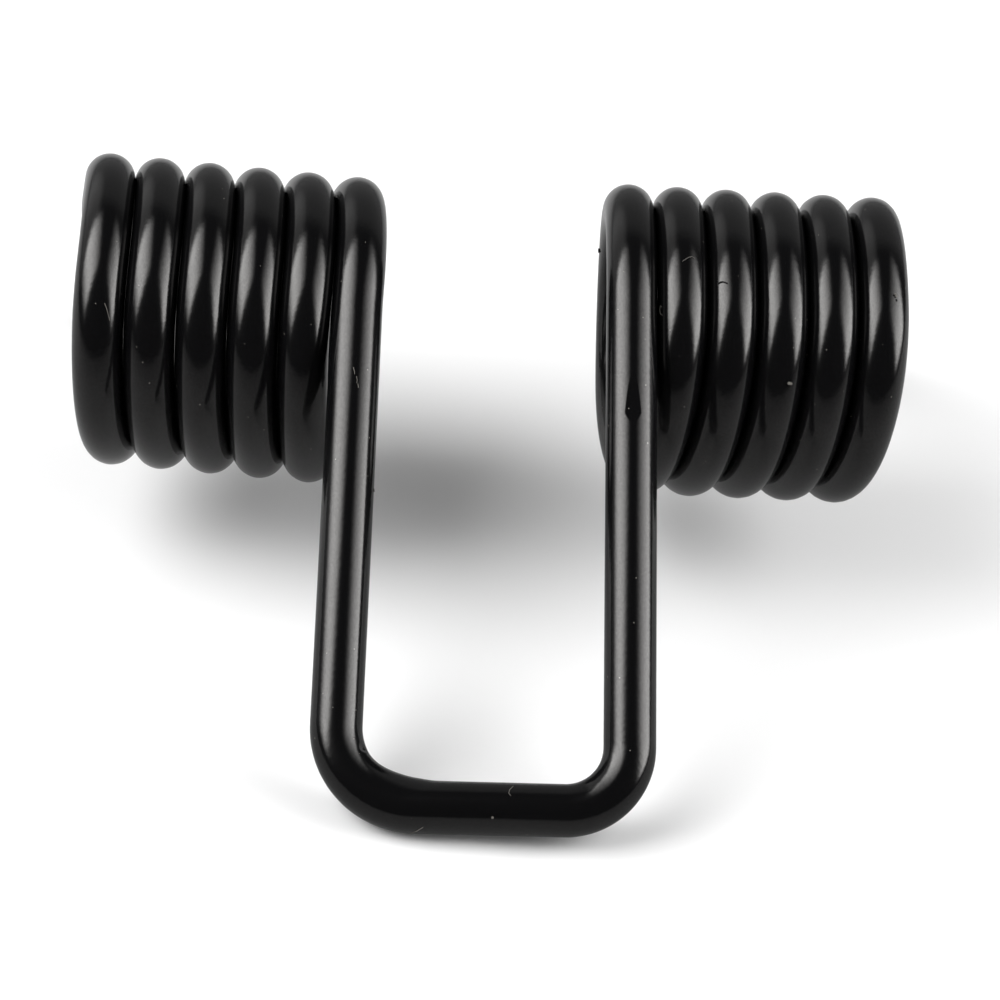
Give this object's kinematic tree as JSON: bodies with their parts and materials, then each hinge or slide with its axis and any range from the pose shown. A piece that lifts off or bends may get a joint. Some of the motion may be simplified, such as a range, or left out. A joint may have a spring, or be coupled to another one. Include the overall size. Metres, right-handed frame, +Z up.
{
  "type": "double torsion spring",
  "caption": "Double torsion spring in black coated wire: two close-wound coils side by side, joined by a long U-shaped centre loop, with a straight tail from the back of each coil.",
  "frame": {"origin": "on the floor, under the middle of the spring's box as it lies at rest", "axes": "+X along the coils, +Y from the cross bar at the front to the tails at the back, +Z up from the floor"},
  "size_m": [0.0688, 0.0714, 0.0323],
  "materials": {
    "coated_wire": "satin black powder coat over spring steel wire, faint orange peel"
  },
  "bodies": {
    "root": {"spring_wire": "coated_wire"}
  },
  "joints": []
}
